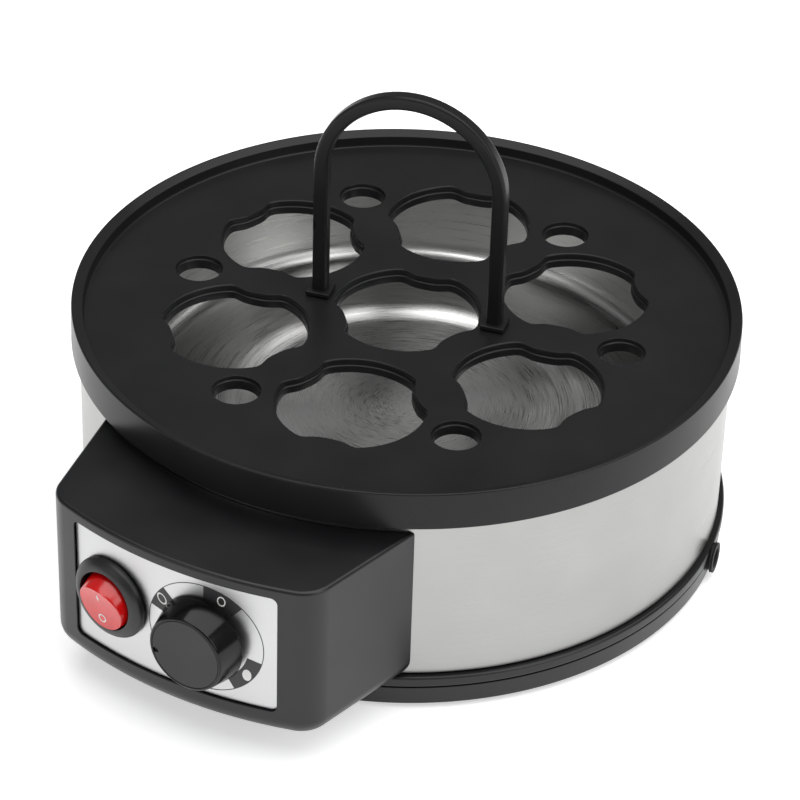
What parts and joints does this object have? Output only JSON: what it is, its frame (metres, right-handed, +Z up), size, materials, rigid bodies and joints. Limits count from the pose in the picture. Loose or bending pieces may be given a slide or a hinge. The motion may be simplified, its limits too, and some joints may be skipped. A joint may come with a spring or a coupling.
{
  "type": "egg cooker",
  "caption": "Round electric egg cooker with a lift-out tray and its arch handle, a steel jacket, and a front box with a rocker switch and a doneness dial.",
  "frame": {"origin": "middle of the plan outline, at the level that the four rubber feet stand on", "axes": "+Z up; the control panel faces -Y, so +X is to the right of someone facing the panel"},
  "size_m": [0.1804, 0.2144, 0.1309],
  "materials": {
    "black_plastic": "satin moulded polypropylene",
    "tray_plastic": "satin moulded polypropylene",
    "gloss_plastic": "glossy moulded ABS",
    "brushed_steel": "fine brushed stainless steel",
    "polished_steel": "drawn and polished stainless steel",
    "zinc_steel": "bright zinc plated steel",
    "aluminium": "plain rolled",
    "silver_plate": "satin silver anodised, printed in black",
    "brass": "stamped tabs and screws",
    "red_lens": "glossy translucent red polycarbonate",
    "rubber": "matte",
    "silicone": "matte silicone",
    "white_plastic": "satin nylon",
    "brown_phenolic": "satin phenolic resin",
    "neon_glass": "clear glass",
    "wire_sleeve": "glass-fibre sleeving"
  },
  "bodies": {
    "housing": {"base_screw_1": "zinc_steel", "base_screw_2": "zinc_steel", "base_screw_3": "zinc_steel", "base_screw_4": "zinc_steel", "body_shell": "black_plastic", "bottom_cover": "black_plastic", "box_screw_1": "zinc_steel", "box_screw_2": "zinc_steel", "box_screw_3": "zinc_steel", "box_screw_4": "zinc_steel", "buzzer": "gloss_plastic", "centre_stud": "zinc_steel", "control_box": "black_plastic", "cord_gland": "rubber", "dish_clip_1": "zinc_steel", "dish_clip_2": "zinc_steel", "dish_clip_3": "zinc_steel", "dish_gasket": "silicone", "element_clamp": "zinc_steel", "element_pin_1": "zinc_steel", "element_pin_2": "zinc_steel", "faceplate": "silver_plate", "foot_1": "rubber", "foot_2": "rubber", "foot_3": "rubber", "foot_4": "rubber", "fuse_clip": "zinc_steel", "heat_shield": "zinc_steel", "heat_spreader": "aluminium", "heating_dish": "polished_steel", "heating_element": "zinc_steel", "limit_thermostat": "brown_phenolic", "regulator_body": "brown_phenolic", "regulator_nut": "zinc_steel", "steel_jacket": "brushed_steel", "stud_nut_1": "zinc_steel", "stud_nut_2": "zinc_steel", "stud_nut_3": "zinc_steel", "switch_body": "gloss_plastic", "switch_lamp": "neon_glass", "terminal_block": "white_plastic", "terminal_screw_1": "brass", "terminal_screw_2": "brass", "terminal_screw_3": "brass", "thermal_fuse": "wire_sleeve", "thermostat_strap": "zinc_steel", "wire_element": "wire_sleeve", "wire_fuse": "wire_sleeve", "wire_regulated": "wire_sleeve", "wire_return": "wire_sleeve", "wire_supply": "wire_sleeve", "wire_switched": "wire_sleeve"},
    "tray": {"egg_tray": "tray_plastic", "tray_handle": "tray_plastic"},
    "knob": {"knob": "gloss_plastic", "knob_cap": "black_plastic", "regulator_shaft": "aluminium"},
    "rocker": {"rocker": "red_lens"}
  },
  "joints": [
    {"name": "tray_lift", "type": "slide", "parent": "housing", "child": "tray", "axis": [0, 0, 1], "range_m": [0, 0.1]},
    {"name": "knob_turn", "type": "hinge", "parent": "housing", "child": "knob", "pos_m": [0.0105, -0.09866, 0.035], "axis": [0, 1, 0], "range_deg": [0, 253]},
    {"name": "rocker_tip", "type": "hinge", "parent": "housing", "child": "rocker", "pos_m": [-0.01737, -0.09631, 0.0356], "axis": [-0.9884, 0.1516, 0], "range_deg": [0, 24]}
  ]
}
